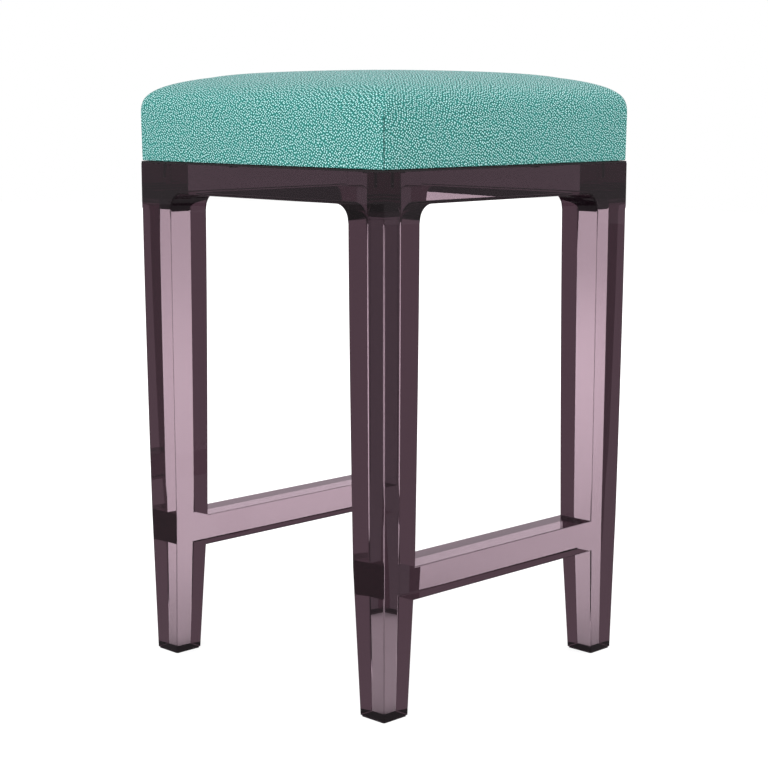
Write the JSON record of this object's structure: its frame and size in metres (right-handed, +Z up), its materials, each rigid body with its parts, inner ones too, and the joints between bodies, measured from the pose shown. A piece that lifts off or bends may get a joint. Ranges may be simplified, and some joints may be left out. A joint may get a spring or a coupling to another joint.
{
  "type": "counter stool",
  "caption": "Square backless counter stool with a tapered tinted clear acrylic frame, rails, two low stretchers and a crowned upholstered seat over a black plate.",
  "frame": {"origin": "on the floor, under the middle of the seat", "axes": "+Z up; the front, one of the two sides with a stretcher, faces -Y; +X to the right seen from the front"},
  "size_m": [0.3866, 0.3866, 0.6593],
  "materials": {
    "acrylic": "gloss",
    "foot_pad": "matte",
    "black_plate": "satin",
    "black_screw": "satin",
    "plywood": "matte",
    "zinc": "satin",
    "dust_cloth": "matte",
    "foam": "matte",
    "batting": "matte",
    "cover_cloth": "satin"
  },
  "bodies": {
    "root": {"leg_front_left": "acrylic", "leg_front_right": "acrylic", "leg_rear_left": "acrylic", "leg_rear_right": "acrylic", "rail_front": "acrylic", "rail_rear": "acrylic", "rail_left": "acrylic", "rail_right": "acrylic", "stretcher_front": "acrylic", "stretcher_rear": "acrylic", "foot_pad_front_left": "foot_pad", "foot_pad_front_right": "foot_pad", "foot_pad_rear_left": "foot_pad", "foot_pad_rear_right": "foot_pad", "seat_plate": "black_plate", "frame_screws": "black_screw", "seat_board": "plywood", "tee_nuts": "zinc", "seat_screws": "black_screw", "seat_washers": "black_screw", "hem_staples": "zinc", "dust_cover": "dust_cloth", "foam_pad": "foam", "batting_wrap": "batting", "seat_cover": "cover_cloth"}
  },
  "joints": []
}
